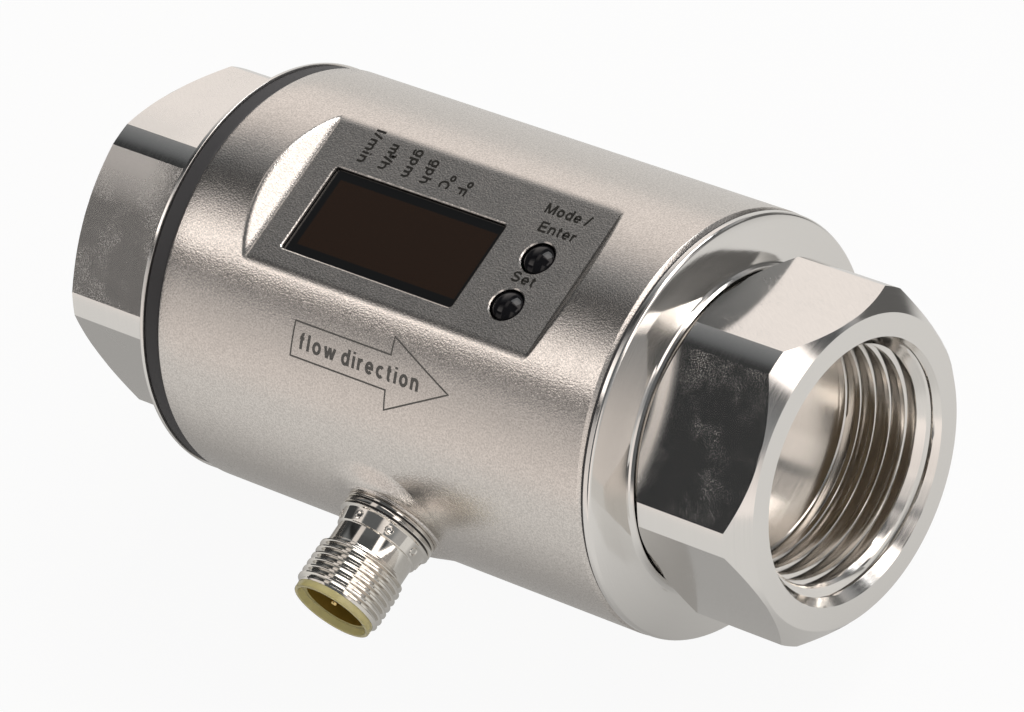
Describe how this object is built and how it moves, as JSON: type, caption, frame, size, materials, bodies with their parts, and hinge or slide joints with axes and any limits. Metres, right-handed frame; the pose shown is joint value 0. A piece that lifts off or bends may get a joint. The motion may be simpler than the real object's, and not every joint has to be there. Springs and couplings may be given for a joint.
{
  "type": "magnetic flow meter",
  "caption": "Inline magnetic flow meter: round steel housing with display flat and pushbuttons, threaded hexagonal ports and a round plug connector on the side.",
  "frame": {"origin": "on the pipe's axis, at the middle of the magnet system and close to halfway between the port faces", "axes": "+X along the pipe in the direction of flow, +Z out of the display, the plug connector points along -Y"},
  "size_m": [0.1113, 0.0691, 0.055],
  "materials": {
    "blasted_steel": "fine bead-blasted stainless steel",
    "turned_steel": "bright turned and milled stainless steel",
    "seal_rubber": "matt black rubber",
    "liner_plastic": "beige moulded plastic",
    "magnet_iron": "zinc-plated soft iron",
    "coil_winding": "enamelled copper wire",
    "black_plastic": "black moulded plastic",
    "board_green": "glass-fibre circuit board",
    "spacer_brass": "turned brass",
    "display_black": "black display module",
    "window_glass": "dark tinted glass",
    "button_black": "glossy black plastic",
    "nickel_plate": "bright nickel plating on brass",
    "amber_nylon": "translucent amber nylon",
    "gold_contact": "gold-plated contact pins"
  },
  "bodies": {
    "root": {"housing": "blasted_steel", "inlet_fitting": "turned_steel", "outlet_fitting": "turned_steel", "inlet_gasket": "seal_rubber", "outlet_seal": "seal_rubber", "measuring_tube": "liner_plastic", "inlet_o_ring": "seal_rubber", "outlet_o_ring": "seal_rubber", "electrode_upper": "turned_steel", "electrode_lower": "turned_steel", "temperature_probe": "turned_steel", "pole_core_front": "magnet_iron", "pole_core_rear": "magnet_iron", "magnet_yoke": "magnet_iron", "coil_front": "coil_winding", "coil_rear": "coil_winding", "board_carrier": "black_plastic", "main_board": "board_green", "board_spacers": "spacer_brass", "display_board": "board_green", "board_screws": "turned_steel", "display_module": "display_black", "display_window": "window_glass", "mode_switch": "black_plastic", "set_switch": "black_plastic", "connector_shell": "nickel_plate", "connector_insert": "amber_nylon", "connector_pins": "gold_contact", "connector_o_ring": "seal_rubber"},
    "mode_key": {"mode_button": "button_black", "mode_plunger": "button_black"},
    "set_key": {"set_button": "button_black", "set_plunger": "button_black"}
  },
  "joints": [
    {"name": "mode_press", "type": "slide", "parent": "root", "child": "mode_key", "axis": [0, 0, -1], "range_m": [0, 0.0004], "stiffness_N_per_m": 600, "springref_m": -0.0004},
    {"name": "set_press", "type": "slide", "parent": "root", "child": "set_key", "axis": [0, 0, -1], "range_m": [0, 0.0004], "stiffness_N_per_m": 600, "springref_m": -0.0004}
  ]
}
